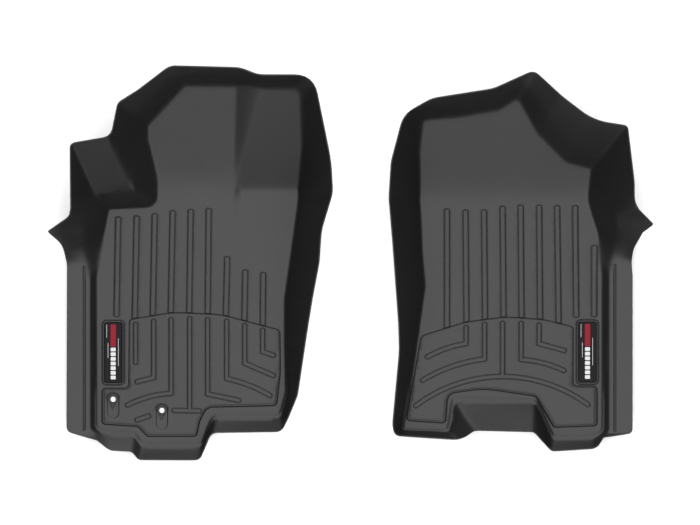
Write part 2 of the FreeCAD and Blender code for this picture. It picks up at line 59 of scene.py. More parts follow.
# ------------------------------------------------------------------ the two plans, in mm
# x runs from the outer edge of the sill flange towards the tunnel and y from the rear edge to
# the front. Each station on the way round a mat has the wall's foot (x, y), its knee (x, y, z),
# its rim (x, y, z) and the corner radius. The foot stands on the floor or on the toe board. The
# corners of the trimmed edge and of the reservoir are (x, y, radius).

FLOOR = 5.0
SHEET = 3.0
TOE_SLOPE = math.tan(math.radians(30.0))
CREASE_SHARP = 5.0  # rounding of the driver's crease beside the fold

DRIVER = {
    "node": "driver_liner",
    "badge": "driver_badge_plate",
    "badge_at": (87.0, 201.0),
    "side": 1.0,
    "crease": 505.0,
    "crease_round": 32.0,
    "fold": ((312.0, 496.0), (319.0, 706.0), (374.0, 702.0), 22.0),
    "soft_spots": [((30.0, 384.0), (46.0, 44.0)), ((104.0, 556.0), (26.0, 66.0))],
    "holes": [(87.0, 113.0), (179.0, 92.0)],
    "groove": ((32.5, 56.0), (32.5, 362.0)),
    "stations": [
        ((55, 60), (46, 57, 24), (1, 54, 27), 5),
        ((53, 369), (46, 369, 24), (0, 367, 27), 12),
        ((63, 405), (35, 402, 40), (-12, 407, 66), 14),
        ((69, 428), (36, 430, 70), (-34, 428, 118), 2),
        ((74, 456), (40, 464, 86), (5, 462, 158), 12),
        ((78, 473), (53, 496, 78), (7, 486, 166), 0),
        ((78, 473), (53, 496, 78), (9, 596, 170), 0),
        ((158, 477), (129, 507, 80), (79, 606, 176), 0),
        ((168, 486), (129, 507, 80), (79, 606, 176), 0),
        ((169, 496), (129, 507, 80), (79, 606, 176), 0),
        ((168, 535), (129, 507, 80), (79, 606, 176), 0),
        ((152, 604), (79, 606, 176), (79, 606, 176), 0),
        ((151, 630), (124, 650, 143), (96, 670, 197), 10),
        ((223, 707), (209, 722, 166), (195, 741, 203), 18),
        ((319, 706), (322, 720, 166), (327, 738, 203), 0),
        ((374, 702), (369, 712, 174), (363, 724, 202), 0),
        ((441, 702), (457, 712, 168), (472, 722, 194), 22),
        ((446, 594), (469, 596, 126), (489, 594, 178), 30),
        ((439, 496), (471, 496, 85), (502, 500, 158), 0),
        ((435, 462), (463, 462, 77), (491, 462, 146), 20),
        ((426, 398), (451, 401, 62), (476, 405, 120), 30),
        ((412, 302), (438, 300, 60), (463, 299, 113), 60),
        ((412, 222), (431, 224, 48), (449, 224, 88), 60),
        ((414, 126), (425, 128, 32), (435, 130, 56), 12),
        ((402, 86), (407, 71, 19), (411, 54, 35), 12),
        ((277, 86), (273, 69, 18), (268, 52, 31), 16),
        ((258, 32), (255, 16, 18), (252, 1, 31), 7),
        ((141, 33), (138, 16, 18), (135, 1, 31), 7),
        ((127, 54), (126, 35, 18), (122, 17, 30), 8),
        ((82, 56), (80, 38, 18), (78, 19, 30), 8),
        ((66, 58), (61, 46, 17), (57, 35, 28), 4),
    ],
    "trim": [
        (0, 53, 12), (58, 37, 16), (81, 18, 24), (123, 16, 14), (136, 0.5, 10), (250, 0, 14),
        (259, 24, 60), (270, 51.5, 24), (404, 53.5, 16), (416, 80, 60), (433, 121, 60),
        (450, 235, 200), (461, 303, 60), (474, 372, 60), (478, 432, 120), (499.5, 503, 60),
        (496, 563, 300), (464, 722, 42), (361, 722, 60), (327, 735.5, 60), (196, 739, 30),
        (137, 694, 120), (99, 670, 18), (86, 607, 24), (9.5, 594, 9), (10.5, 472, 40),
        (7, 456, 40), (-34, 428, 1.2), (-7, 404, 40), (1, 368, 60),
    ],
    "reservoir": [
        (117, 264, 8), (200, 277.5, 140), (290, 273.5, 160), (402, 244, 10), (403, 165, 60),
        (395, 101, 9), (263, 98, 20), (250, 72, 20), (244, 43, 8), (152, 43, 8), (133, 62, 10),
        (66, 66, 8), (66, 134, 8), (116, 134, 9),
    ],
    "long_ribs": [
        ((96, 452), (93, 274)), ((131, 454), (127, 262)), ((165, 458), (161, 268)),
        ((199, 464), (195, 272)), ((233, 466), (230, 272)), ((267, 468), (265, 270)),
        ((302, 377), (299, 264)), ((336, 352), (334, 257)), ((370, 347), (369, 249)),
    ],
    "pan_ribs": [
        [(129, 254), (129, 183)], [(163, 260), (163, 154)], [(163, 154), (132, 146)],
        [(196, 263), (196, 124)], [(196, 124), (152, 117), (114, 102)], [(231, 265), (231, 92)],
        [(202, 92), (249, 91)], [(132, 74), (153, 81)], [(265, 263), (265, 123)],
        [(265, 123), (323, 111)], [(301, 260), (301, 152)],
        [(301, 152), (347, 138), (383, 120)], [(335, 252), (335, 181)],
        [(335, 181), (389, 158)], [(369, 243), (369, 203)], [(369, 203), (389, 196)],
    ],
}
PASSENGER = {
    "node": "passenger_liner",
    "badge": "passenger_badge_plate",
    "badge_at": (84.0, 202.0),
    "side": -1.0,
    "crease": 488.0,
    "crease_round": 22.0,
    "fold": None,
    "soft_spots": [((28.0, 388.0), (46.0, 40.0)), ((40.0, 500.0), (34.0, 40.0))],
    "holes": [],
    "groove": ((32.5, 54.0), (32.5, 366.0)),
    "stations": [
        ((56, 55), (45, 54, 24), (4, 52, 27), 5),
        ((55, 382), (45, 380, 24), (1, 371, 27), 12),
        ((59, 413), (34, 410, 42), (-4, 407, 62), 14),
        ((65, 435), (30, 437, 70), (-36, 442, 108), 2),
        ((74, 464), (37, 466, 86), (-8, 466, 128), 12),
        ((81, 488), (41, 492, 80), (-1, 496, 144), 0),
        ((76, 550), (43, 590, 112), (10, 631, 184), 9),
        ((124, 562), (100, 601, 118), (75, 640, 188), 40),
        ((179, 618), (158, 650, 142), (137, 683, 200), 60),
        ((217, 686), (203, 707, 164), (187, 736, 205), 16),
        ((252, 661), (258, 678, 148), (264, 696, 190), 24),
        ((324, 649), (345, 664, 138), (371, 680, 178), 24),
        ((396, 644), (415, 650, 134), (433, 652, 172), 14),
        ((403, 583), (428, 582, 112), (454, 583, 166), 30),
        ((403, 488), (430, 490, 72), (460, 498, 138), 0),
        ((398, 394), (424, 393, 60), (450, 401, 116), 30),
        ((392, 328), (417, 324, 58), (442, 320, 110), 50),
        ((407, 222), (422, 223, 42), (438, 224, 78), 60),
        ((420, 135), (432, 136, 31), (443, 137, 56), 30),
        ((434, 56), (441, 50, 24), (450, 46, 42), 9),
        ((349, 55), (341, 48, 18), (330, 38, 30), 9),
        ((340, 120), (320, 86, 29), (297, 56, 52), 8),
        ((182, 115), (182, 84, 29), (184, 53, 52), 12),
        ((149, 46), (152, 31, 17), (155, 17, 29), 6),
        ((75, 47), (73, 33, 17), (73, 21, 29), 8),
        ((62, 50), (57, 44, 17), (52, 42, 27), 4),
    ],
    "trim": [
        (0, 50.5, 8), (55, 43, 8), (68, 22, 20), (151, 16.5, 10), (184, 53, 12), (298, 56, 30),
        (322, 38, 40), (447, 46.5, 18), (450, 66, 40), (437, 205, 220), (439, 260, 200),
        (450, 410, 200), (457, 492, 120), (453, 560, 100), (430, 648, 50), (378, 678, 60),
        (262, 696, 80), (187, 730, 16), (135, 682, 120), (75, 636, 120), (12, 627, 8),
        (-1, 520, 60), (-1, 478, 60), (-38, 442, 1.2), (-18, 427, 8), (-1, 396, 40),
        (2, 372, 30), (0, 345, 60),
    ],
    "reservoir": [
        (398, 233, 12), (315, 259, 120), (239, 269, 160), (167, 264, 120), (110, 250, 9),
        (111, 138, 9), (66, 138, 8), (66, 63, 8), (147, 60, 6), (181, 119, 14), (281, 133, 160),
        (348, 124, 20), (352, 68, 8), (426, 73, 8),
    ],
    "long_ribs": [
        ((349, 467), (349, 247)), ((314, 465), (312, 256)), ((279, 465), (277, 262)),
        ((244, 472), (242, 265)), ((210, 474), (208, 265)), ((175, 474), (173, 262)),
        ((141, 473), (138, 257)), ((107, 473), (105, 273)), ((71, 398), (71, 274)),
    ],
    "pan_ribs": [
        [(313, 248), (313, 218)], [(313, 218), (356, 207), (386, 193)],
        [(278, 254), (278, 189)], [(278, 189), (345, 173), (395, 149)],
        [(244, 256), (244, 156)], [(408, 101), (249, 156), (83, 103)], [(209, 256), (209, 188)],
        [(209, 188), (166, 181), (128, 167)], [(175, 253), (175, 218)],
        [(175, 218), (128, 205)],
    ],
}
PLANS = {"driver": DRIVER, "passenger": PASSENGER}

# ------------------------------------------------------------------ settings a user would change


class LinerSettings(bpy.types.PropertyGroup):
    rib_width: bpy.props.FloatProperty(
        name="Rib width", description="Width of a tread rib at its base, in mm",
        default=9.8, min=4.0, max=20.0,
    )
    rib_height: bpy.props.FloatProperty(
        name="Rib height", description="How far a tread rib stands over the floor, in mm",
        default=1.9, min=0.2, max=5.0,
    )
    reservoir_drop: bpy.props.FloatProperty(
        name="Reservoir drop", description="Depth of the fluid reservoir, in mm",
        default=2.0, min=0.2, max=2.0,
    )
    edge_bulge: bpy.props.FloatProperty(
        name="Edge rounding", description="How far the trimmed edge bulges, in mm",
        default=0.9, min=0.0, max=1.5,
    )
    soften: bpy.props.FloatProperty(
        name="Fillet softness", description="Spread of the forming radii, in mm",
        default=3.4, min=1.0, max=10.0,
    )
    colour: bpy.props.FloatVectorProperty(
        name="Sheet colour", description="Colour of the thermoplastic", subtype="COLOR",
        size=3, default=(0.007, 0.007, 0.0073), min=0.0, max=1.0,
    )
    roughness: bpy.props.FloatProperty(
        name="Sheet roughness", description="Roughness of the grained skin",
        default=0.41, min=0.0, max=1.0, subtype="FACTOR",
    )
    grain: bpy.props.FloatProperty(
        name="Grain size", description="Width of one pebble of the grain, in mm",
        default=1.1, min=0.3, max=4.0,
    )


class BadgeSettings(bpy.types.PropertyGroup):
    plate_colour: bpy.props.FloatVectorProperty(
        name="Plate colour", description="Colour of the badge plate", subtype="COLOR",
        size=3, default=(0.003, 0.003, 0.0032), min=0.0, max=1.0,
    )
    emblem_colour: bpy.props.FloatVectorProperty(
        name="Emblem colour", description="Colour of the emblem inlay", subtype="COLOR",
        size=3, default=(0.19, 0.003, 0.013), min=0.0, max=1.0,
    )
    bar_colour: bpy.props.FloatVectorProperty(
        name="Bar colour", description="Colour of the bar inlays", subtype="COLOR",
        size=3, default=(0.46, 0.46, 0.47), min=0.0, max=1.0,
    )


class StageSettings(bpy.types.PropertyGroup):
    lens: bpy.props.FloatProperty(
        name="Lens", description="Focal length of the overhead camera, in mm", default=1090.0,
    )
    key_power: bpy.props.FloatProperty(
        name="Overhead softbox", description="Power of the overhead softbox, in W",
        default=232.0,
    )
    world: bpy.props.FloatProperty(
        name="Room light", description="Strength of the room's own light", default=0.03,
    )


# ------------------------------------------------------------------ outlines


def round_corner(before, here, after, radius, count):
    """Points on a parabola that touches both sides of a corner."""
    u = here - before
    v = after - here
    len_u = float(np.hypot(u[0], u[1]))
    len_v = float(np.hypot(v[0], v[1]))
    if radius <= 0 or len_u < 1e-6 or len_v < 1e-6:
        return [here] * count
    cosine = float(np.dot(u[:2], v[:2]) / (len_u * len_v))
    turn = math.acos(max(-1.0, min(1.0, cosine)))
    back = min(max(radius * math.tan(turn / 2), 0.8), 0.48 * len_u, 0.48 * len_v)
    start = here - u * (back / len_u)
    end = here + v * (back / len_v)
    steps = [i / (count - 1) for i in range(count)]
    return [start * (1 - t) ** 2 + here * (2 * t * (1 - t)) + end * t * t for t in steps]


def matched_loops(rows, radii, corner_count=9, side_step=6.0):
    """The same number of points on each closed loop, corner by corner and side by side."""
    count = len(radii)
    corners = []
    for row in rows:
        corners.append(
            [
                round_corner(row[i - 1], row[i], row[(i + 1) % count], radii[i], corner_count)
                for i in range(count)
            ]
        )
    loops = [[] for _ in rows]
    for i in range(count):
        j = (i + 1) % count
        longest = max(
            float(np.linalg.norm(line[j][0] - line[i][-1])) for line in corners
        )
        steps = max(1, math.ceil(longest / side_step))
        for loop, line in zip(loops, corners):
            loop.extend(line[i])
            for k in range(1, steps):
                share = k / steps
                loop.append(line[i][-1] * (1 - share) + line[j][0] * share)
    return [np.array(loop) for loop in loops]


def arc_line(path, pieces=14):
    """A straight run as it is, or an arc through three points as short runs."""
    if len(path) == 2:
        return np.array(path, float)
    (ax, ay), (bx, by), (cx, cy) = path
    d = 2 * (ax * (by - cy) + bx * (cy - ay) + cx * (ay - by))
    a2 = ax * ax + ay * ay
    b2 = bx * bx + by * by
    c2 = cx * cx + cy * cy
    ux = (a2 * (by - cy) + b2 * (cy - ay) + c2 * (ay - by)) / d
    uy = (a2 * (cx - bx) + b2 * (ax - cx) + c2 * (bx - ax)) / d
    radius = math.hypot(ax - ux, ay - uy)
    first = math.atan2(ay - uy, ax - ux)
    middle = (math.atan2(by - uy, bx - ux) - first + math.pi) % (2 * math.pi) - math.pi
    last = (math.atan2(cy - uy, cx - ux) - first + math.pi) % (2 * math.pi) - math.pi
    if abs(last) < abs(middle):
        last += math.copysign(2 * math.pi, middle)
    angles = first + np.linspace(0.0, last, pieces + 1)
    return np.column_stack([ux + radius * np.cos(angles), uy + radius * np.sin(angles)])


def inside(polygon, x, y):
    """True where a point lies in the polygon; every side it looks past turns the answer round."""
    result = np.zeros(np.shape(x), bool)
    ends = np.roll(polygon, -1, axis=0)
    for (ax, ay), (bx, by) in zip(polygon[:, :2], ends[:, :2]):
        if ay == by:
            continue
        crosses = (ay > y) != (by > y)
        result ^= crosses & (x < (bx - ax) * (y - ay) / (by - ay) + ax)
    return result


def line_distance(line, x, y, closed=False):
    """Distance to a run of straight pieces."""
    ends = np.roll(line, -1, axis=0) if closed else line[1:]
    nearest = np.full(np.shape(x), 1e9)
    for (ax, ay), (bx, by) in zip(line[:, :2], ends[:, :2]):
        dx = bx - ax
        dy = by - ay
        length = dx * dx + dy * dy
        if length < 1e-12:
            continue
        t = np.clip(((x - ax) * dx + (y - ay) * dy) / length, 0.0, 1.0)
        gap = (x - ax - t * dx) ** 2 + (y - ay - t * dy) ** 2
        nearest = np.minimum(nearest, gap)
    return np.sqrt(nearest)


def bar_distance(path, half_width, corner, x, y):
    """Signed distance to a bar with nearly square ends."""
    line = arc_line(path)
    if len(path) == 3:
        return line_distance(line, x, y) - half_width
    middle = (line[0] + line[1]) / 2
    along = line[1] - line[0]
    length = float(np.hypot(along[0], along[1]))
    along = along / length
    u = np.abs((x - middle[0]) * along[0] + (y - middle[1]) * along[1])
    v = np.abs((y - middle[1]) * along[0] - (x - middle[0]) * along[1])
    u = u - (length / 2 + half_width - corner)
    v = v - (half_width - corner)
    outside = np.hypot(np.maximum(u, 0.0), np.maximum(v, 0.0))
    return outside + np.minimum(np.maximum(u, v), 0.0) - corner


def box_distance(centre, width, length, corner, x, y):
    """Signed distance to a rounded rectangle."""
    u = np.abs(x - centre[0]) - (width / 2 - corner)
    v = np.abs(y - centre[1]) - (length / 2 - corner)
    outside = np.hypot(np.maximum(u, 0.0), np.maximum(v, 0.0))
    return outside + np.minimum(np.maximum(u, v), 0.0) - corner


def rise(distance, start, end):
    """0 at start and further, 1 at end and further in, smooth between them."""
    t = np.clip((start - distance) / (start - end), 0.0, 1.0)
    return t * t * (3 - 2 * t)


# ------------------------------------------------------------------ the formed skin

GRID = 1.0  # cell of the height map
MARGIN = 40.0  # of the height map round the rim
BEYOND_RIM = 26.0  # how far the walls run on outside the rim
SOFT_SPREAD = 9.0  # fillet softness at the soft spots

REAR = (170.0, 110.0)  # between these the floor rises to the reservoir's rear border
REAR_LIFT = 3.2
RIM_WIDTH = 0.9  # half the width of the reservoir's wall, at the front
RIM_WIDER_REAR = 1.3

RIB_CORNER = 2.6
RIB_SIDE = (0.2, -1.1)  # where a rib's side starts and ends, from its outline
RIB_LEVELS = (1.7, 1.1, 0.5, -0.3, -1.1)
RIB_RUN_ON = 12.0  # past the reservoir's edge
PAN_RIB = 0.8  # width of the reservoir's ribs as a share of the long ones
OUTLINE = 0.5  # centre of the fine groove round a rib
OUTLINE_SIDE = (1.2, 0.1)
OUTLINE_DEPTH = 1.0

BADGE_WIDTH = 32.5
BADGE_LENGTH = 113.0
BADGE_CORNER = 3.5
POCKET_DEPTH = 1.0
BEAD_HEIGHT = 0.8
RING = 4.4  # from the pocket's edge to the groove round the badge
RING_SIDE = (1.6, 0.2)
RING_DEPTH = 1.8
GROOVE_WIDTH = 3.6  # half the width of the groove in the sill flange
GROOVE_DEPTH = 1.8

HOLE_RADIUS = 5.6
WELL_WIDTH = 22.0
WELL_LENGTH = 48.0
WELL_SIDE = (0.6, -1.4)
WELL_FRONT_DEPTH = 2.7
WELL_REAR_DEPTH = 1.0
HOLE_TO_WELL_FRONT = 12.0
LIP_HEIGHT = 1.6
COLLAR_RADIUS = 8.6
COLLAR_TIP = 18.0
COLLAR_HEIGHT = 1.7
NOTCH_DEPTH = 2.0


class Skin:
    """The heights of one liner's top skin over its plan."""

    def __init__(self, plan, settings):
        self.plan = plan
        self.settings = settings
        self.half_rib = settings.rib_width / 2
        stations = plan["stations"]
        feet = [
            np.array([x, y, float(self.ground(np.array(x), np.array(y)))])
            for (x, y), _, _, _ in stations
        ]
        knees = [np.array(knee, float) for _, knee, _, _ in stations]
        rims = [np.array(rim, float) for _, _, rim, _ in stations]
        radii = [radius for _, _, _, radius in stations]
        self.foot, self.knee, self.rim = matched_loops([feet, knees, rims], radii)
        self.reservoir_line = self.outline(plan["reservoir"])
        self.trim = self.outline(plan["trim"])
        self.make_map()

    def ground(self, x, y):
        """The floor and the toe board, with a soft crease between them."""
        fold = self.plan["fold"]
        along = y - self.plan["crease"]
        bend = self.plan["crease_round"]
        if fold is not None:
            beside = rise(x, fold[0][0] - 6.0, fold[0][0] + 20.0)
            bend = bend + (CREASE_SHARP - bend) * beside
        run = 0.5 * (along + np.sqrt(along * along + bend * bend))
        height = FLOOR + run * TOE_SLOPE
        if fold is None:
            return height
        apex, left, right, step = fold
        steep = run * step / (left[1] - apex[1])
        share = run / (left[1] - apex[1])
        left_x = apex[0] + (left[0] - apex[0]) * share
        right_x = apex[0] + (right[0] - apex[0]) * share
        width = np.maximum(right_x - left_x, 1.0)
        across = 1.0 - np.clip((x - left_x) / width, 0.0, 1.0)
        return height + steep * (1.0 - across**1.3)

    def outline(self, corners):
        """A closed line of points round rounded corners."""
        points = [np.array([x, y, 0.0]) for x, y, _ in corners]
        return matched_loops([points], [radius for _, _, radius in corners], 7, 1e9)[0]

    def make_map(self):
        """The heights of floor, toe board and walls on a grid, blurred to form the fillets."""
        low = self.rim.min(axis=0) - MARGIN
        high = self.rim.max(axis=0) + MARGIN
        self.x0 = low[0]
        self.y0 = low[1]
        self.xs = np.arange(low[0], high[0], GRID)
        self.ys = np.arange(low[1], high[1], GRID)
        heights = np.full((len(self.ys), len(self.xs)), np.nan)
        out = self.rim - self.knee
        reach = np.maximum(np.hypot(out[:, 0], out[:, 1]), 1.0)[:, None]
        beyond = self.rim + out / reach * BEYOND_RIM
        for lower, upper in ((self.rim, beyond), (self.knee, self.rim), (self.foot, self.knee)):
            self.fill_strip(heights, lower, upper)
        grid_x, grid_y = np.meshgrid(self.xs, self.ys)
        floor = inside(self.foot, grid_x, grid_y)
        heights[floor] = self.ground(grid_x, grid_y)[floor]
        crisp = self.blurred(heights, self.settings.soften)
        soft = self.blurred(heights, SOFT_SPREAD)
        share = np.zeros(heights.shape)
        for (cx, cy), (rx, ry) in self.plan["soft_spots"]:
            away = np.hypot((grid_x - cx) / rx, (grid_y - cy) / ry)
            share = np.maximum(share, rise(away, 1.25, 0.6))
        self.map = crisp + (soft - crisp) * share

    def fill_strip(self, heights, lower, upper):
        """Writes the wall between two loops into the height map."""
        count = len(lower)
        for i in range(count):
            j = (i + 1) % count
            self.fill_triangle(heights, lower[i], lower[j], upper[j])
            self.fill_triangle(heights, lower[i], upper[j], upper[i])

    def fill_triangle(self, heights, a, b, c):
        """Writes the plane through three corners into the height map."""
        area = (b[1] - c[1]) * (a[0] - c[0]) + (c[0] - b[0]) * (a[1] - c[1])
        if abs(area) < 1e-6:
            return
        left = max(int((min(a[0], b[0], c[0]) - self.x0) / GRID), 0)
        right = int((max(a[0], b[0], c[0]) - self.x0) / GRID) + 2
        low = max(int((min(a[1], b[1], c[1]) - self.y0) / GRID), 0)
        high = int((max(a[1], b[1], c[1]) - self.y0) / GRID) + 2
        x = self.xs[None, left:right]
        y = self.ys[low:high, None]
        u = ((b[1] - c[1]) * (x - c[0]) + (c[0] - b[0]) * (y - c[1])) / area
        v = ((c[1] - a[1]) * (x - c[0]) + (a[0] - c[0]) * (y - c[1])) / area
        w = 1 - u - v
        slack = -1e-3
        hit = (u >= slack) & (v >= slack) & (w >= slack)
        block = heights[low:high, left:right]
        block[hit] = (u * a[2] + v * b[2] + w * c[2])[hit]

    def blurred(self, heights, spread):
        """A Gaussian blur that ignores the empty cells."""
        known = ~np.isnan(heights)
        rows, columns = heights.shape
        fy = np.fft.fftfreq(rows, GRID)[:, None]
        fx = np.fft.rfftfreq(columns, GRID)[None, :]
        kernel = np.exp(-2 * (math.pi * spread) ** 2 * (fx * fx + fy * fy))

        def smooth(values):
            return np.fft.irfft2(np.fft.rfft2(values) * kernel, s=values.shape)

        total = smooth(np.where(known, heights, 0.0))
        weight = smooth(known.astype(float))
        return total / np.maximum(weight, 1e-6)

    def sample(self, x, y):
        """The smooth skin without its tread, between the map's cells."""
        u = np.clip((x - self.x0) / GRID, 0, len(self.xs) - 1.001)
        v = np.clip((y - self.y0) / GRID, 0, len(self.ys) - 1.001)
        i = u.astype(int)
        j = v.astype(int)
        u = u - i
        v = v - j
        m = self.map
        low = m[j, i] * (1 - u) + m[j, i + 1] * u
        high = m[j + 1, i] * (1 - u) + m[j + 1, i + 1] * u
        return low * (1 - v) + high * v

    # distances to the features of the floor, in mm

    def reservoir(self, x, y):
        distance = line_distance(self.reservoir_line, x, y, closed=True)
        return np.where(inside(self.reservoir_line, x, y), -distance, distance)

    def reservoir_edge(self, x, y):
        """1 where the reservoir's wall starts and -1 where it ends; it is wider at the rear."""
        return self.reservoir(x, y) / (RIM_WIDTH + rise(y, *REAR))

    def ribs(self, paths, half_width, x, y):
        """Signed distance to the nearest of some ribs."""
        result = np.full(np.shape(x), 1e3)
        for path in paths:
            result = np.minimum(result, bar_distance(path, half_width, RIB_CORNER, x, y))
        return result

    def outlines(self, x, y):
        """1 in the fine grooves round the ribs and along the reservoir's edge."""
        edge = self.reservoir(x, y)
        pan_line = rise(np.abs(self.pan_ribs(x, y) - OUTLINE), *OUTLINE_SIDE) * (edge < 0)
        long_side = np.maximum(self.ribs(self.shown_ribs(), self.half_rib, x, y), -0.8 - edge)
        long_line = rise(np.abs(long_side - OUTLINE), *OUTLINE_SIDE) * (edge > 0)
        wide = 1.0 + RIM_WIDER_REAR * rise(y, *REAR)
        rim_line = rise(np.abs(edge + RIM_WIDTH * wide) / wide, *OUTLINE_SIDE)
        return np.maximum(np.maximum(pan_line, long_line), rim_line)

    def shown_ribs(self):
        """The long ribs, run on where they end at the reservoir."""
        paths = self.plan["long_ribs"]
        longer = [(a, (b[0], b[1] - RIB_RUN_ON)) for a, b in paths]
        return [longer[i] if self.open_rib(i) else path for i, path in enumerate(paths)]

    def long_ribs(self, x, y):
        ribs = self.ribs(self.shown_ribs(), self.half_rib, x, y)
        return np.maximum(ribs, 0.4 - self.reservoir(x, y))

    def open_rib(self, index):
        """Whether the rear end of a long rib runs out at the reservoir."""
        x, y = self.plan["long_ribs"][index][1]
        return float(self.reservoir(np.array(float(x)), np.array(y - RIB_RUN_ON))) < 0

    def pan_ribs(self, x, y):
        return self.ribs(self.plan["pan_ribs"], PAN_RIB * self.half_rib, x, y)

    def badge_frame(self, x, y):
        return box_distance(
            self.plan["badge_at"], BADGE_WIDTH, BADGE_LENGTH, BADGE_CORNER, x, y
        )

    def well(self, hole, x, y):
        centre = (hole[0], hole[1] + HOLE_TO_WELL_FRONT - WELL_LENGTH / 2)
        return box_distance(centre, WELL_WIDTH, WELL_LENGTH, WELL_WIDTH / 2, x, y)

    def collar(self, hole, x, y):
        """A circle with a point behind it."""
        round_part = np.hypot(x - hole[0], y - hole[1]) - COLLAR_RADIUS
        spread = math.asin(COLLAR_RADIUS / COLLAR_TIP)
        across = np.abs(x - hole[0])
        behind = hole[1] - COLLAR_TIP - y
        side = across * math.cos(spread) + behind * math.sin(spread)
        touch = hole[1] - COLLAR_RADIUS * math.sin(spread)
        return np.where(y > touch, round_part, np.maximum(side, behind))

    def collar_edge(self, hole, x, y):
        """The collar's outline without the part next to the hole."""
        from_hole = np.hypot(x - hole[0], y - hole[1])
        return np.maximum(self.collar(hole, x, y), HOLE_RADIUS + 0.6 - from_hole)

    def notch(self, hole, x, y):
        """A small triangle between the hole and the collar's point."""
        across = np.abs(x - hole[0])
        return np.maximum(across - 3.4 + (hole[1] - 7.0 - y) * 0.4, y - hole[1] + 6.6)

    def groove(self, x, y):
        return line_distance(np.array(self.plan["groove"]), x, y)

    def height(self, x, y):
        """The top skin with all its features."""
        s = self.settings
        base = self.sample(x, y)
        pan = rise(self.reservoir_edge(x, y), 1.0, -1.0)
        lift = REAR_LIFT * rise(y, *REAR) * rise(base, FLOOR + 9.0, FLOOR + 2.0)
        long_ribs = rise(self.long_ribs(x, y), *RIB_SIDE)
        pan_ribs = rise(self.pan_ribs(x, y), *RIB_SIDE)
        result = base + (1 - pan) * lift - pan * s.reservoir_drop
        result = result + s.rib_height * ((1 - pan) * long_ribs + pan * pan_ribs)
        result = result - OUTLINE_DEPTH * self.outlines(x, y)
        frame_gap = self.badge_frame(x, y)
        ring = np.abs(frame_gap - RING)
        bead = rise(frame_gap, RING, RING - 1.6) * (1 - rise(frame_gap, 1.2, 0.0))
        result = result + BEAD_HEIGHT * bead - POCKET_DEPTH * rise(frame_gap, 0.9, 0.0)
        result = result - RING_DEPTH * rise(ring, *RING_SIDE)
        result = result - GROOVE_DEPTH * rise(self.groove(x, y), GROOVE_WIDTH, 0.0)
        for hole in self.plan["holes"]:
            edge = self.well(hole, x, y)
            lip = rise(np.abs(edge - 1.0), 1.6, 0.2) * rise(y, hole[1] - 6.0, hole[1] + 8.0)
            back = np.clip((hole[1] + HOLE_TO_WELL_FRONT - y) / WELL_LENGTH, 0.0, 1.0)
            depth = WELL_FRONT_DEPTH + (WELL_REAR_DEPTH - WELL_FRONT_DEPTH) * back
            result = result + LIP_HEIGHT * lip - depth * rise(edge, *WELL_SIDE)
            result = result + COLLAR_HEIGHT * rise(self.collar(hole, x, y), 0.3, -0.9)
            result = result - NOTCH_DEPTH * rise(self.notch(hole, x, y), 0.5, -0.8)
        return result

    def normal(self, surface, step, x, y):
        """The upward normal of the smooth skin or of the skin with its features."""
        dx = (surface(x + step, y) - surface(x - step, y)) / (2 * step)
        dy = (surface(x, y + step) - surface(x, y - step)) / (2 * step)
        length = np.sqrt(dx * dx + dy * dy + 1)
        return np.stack([-dx / length, -dy / length, 1 / length], axis=-1)

    def bend(self, x, y):
        """How sharply the smooth skin is curved, per mm."""
        step = 2.0
        here = self.sample(x, y)
        total = self.sample(x + step, y) + self.sample(x - step, y)
        total = total + self.sample(x, y + step) + self.sample(x, y - step)
        return np.abs(total - 4 * here) / (step * step)


# ------------------------------------------------------------------ contours of the features


def contours(values, level, x0, y0, step):
    """The lines where a sampled field equals a level, as arrays of points."""
    f = values - level
    above = f > 0
    rows, columns = f.shape
    points = {}
    links = {}
    vertical = rows * columns

    def crossing(kind, i, j):
        key = i * columns + j + (vertical if kind else 0)
        if key not in points:
            a = f[i, j]
            b = f[i + 1, j] if kind else f[i, j + 1]
            t = a / (a - b)
            x = j + (0.0 if kind else t)
            y = i + (t if kind else 0.0)
            points[key] = (x0 + x * step, y0 + y * step)
        return key

    case = (
        above[:-1, :-1] * 1 + above[:-1, 1:] * 2 + above[1:, 1:] * 4 + above[1:, :-1] * 8
    )
    busy = np.argwhere((case > 0) & (case < 15))
    for i, j in busy:
        c = case[i, j]
        edges = []
        if (c & 1 > 0) != (c & 2 > 0):
            edges.append(crossing(0, i, j))
        if (c & 2 > 0) != (c & 4 > 0):
            edges.append(crossing(1, i, j + 1))
        if (c & 4 > 0) != (c & 8 > 0):
            edges.append(crossing(0, i + 1, j))
        if (c & 8 > 0) != (c & 1 > 0):
            edges.append(crossing(1, i, j))
        for k in range(0, len(edges) - 1, 2):
            a, b = edges[k], edges[k + 1]
            links.setdefault(a, []).append(b)
            links.setdefault(b, []).append(a)
    return chained(points, links)


def chained(points, links):
    """Joins the linked crossings into lines; a closed line repeats its first point."""
    lines = []
    used = set()
    starts = [k for k, n in links.items() if len(n) == 1] + list(links)
    for start in starts:
        if start in used:
            continue
        line = [start]
        used.add(start)
        here = start
        while True:
            ahead = [n for n in links[here] if n not in used]
            if not ahead:
                break
            here = ahead[0]
            used.add(here)
            line.append(here)
        if len(line) > 2 and start in links[line[-1]]:
            line.append(start)
        lines.append(np.array([points[k] for k in line]))
    return lines


def thinned(line, tolerance, longest):
    """Drops the points that lie on the chord between their neighbours."""
    kept = [0]
    last = len(line) - 1
    here = 0
    while here < last:
        ahead = here + 1
        while ahead < last:
            chord = line[ahead + 1] - line[here]
            length = float(np.hypot(chord[0], chord[1]))
            if length > longest:
                break
            between = line[here + 1 : ahead + 1] - line[here]
            off = np.abs(between[:, 0] * chord[1] - between[:, 1] * chord[0])
            if length < 1e-9 or float(off.max()) / length > tolerance:
                break
            ahead += 1
        kept.append(ahead)
        here = ahead
    return line[kept]


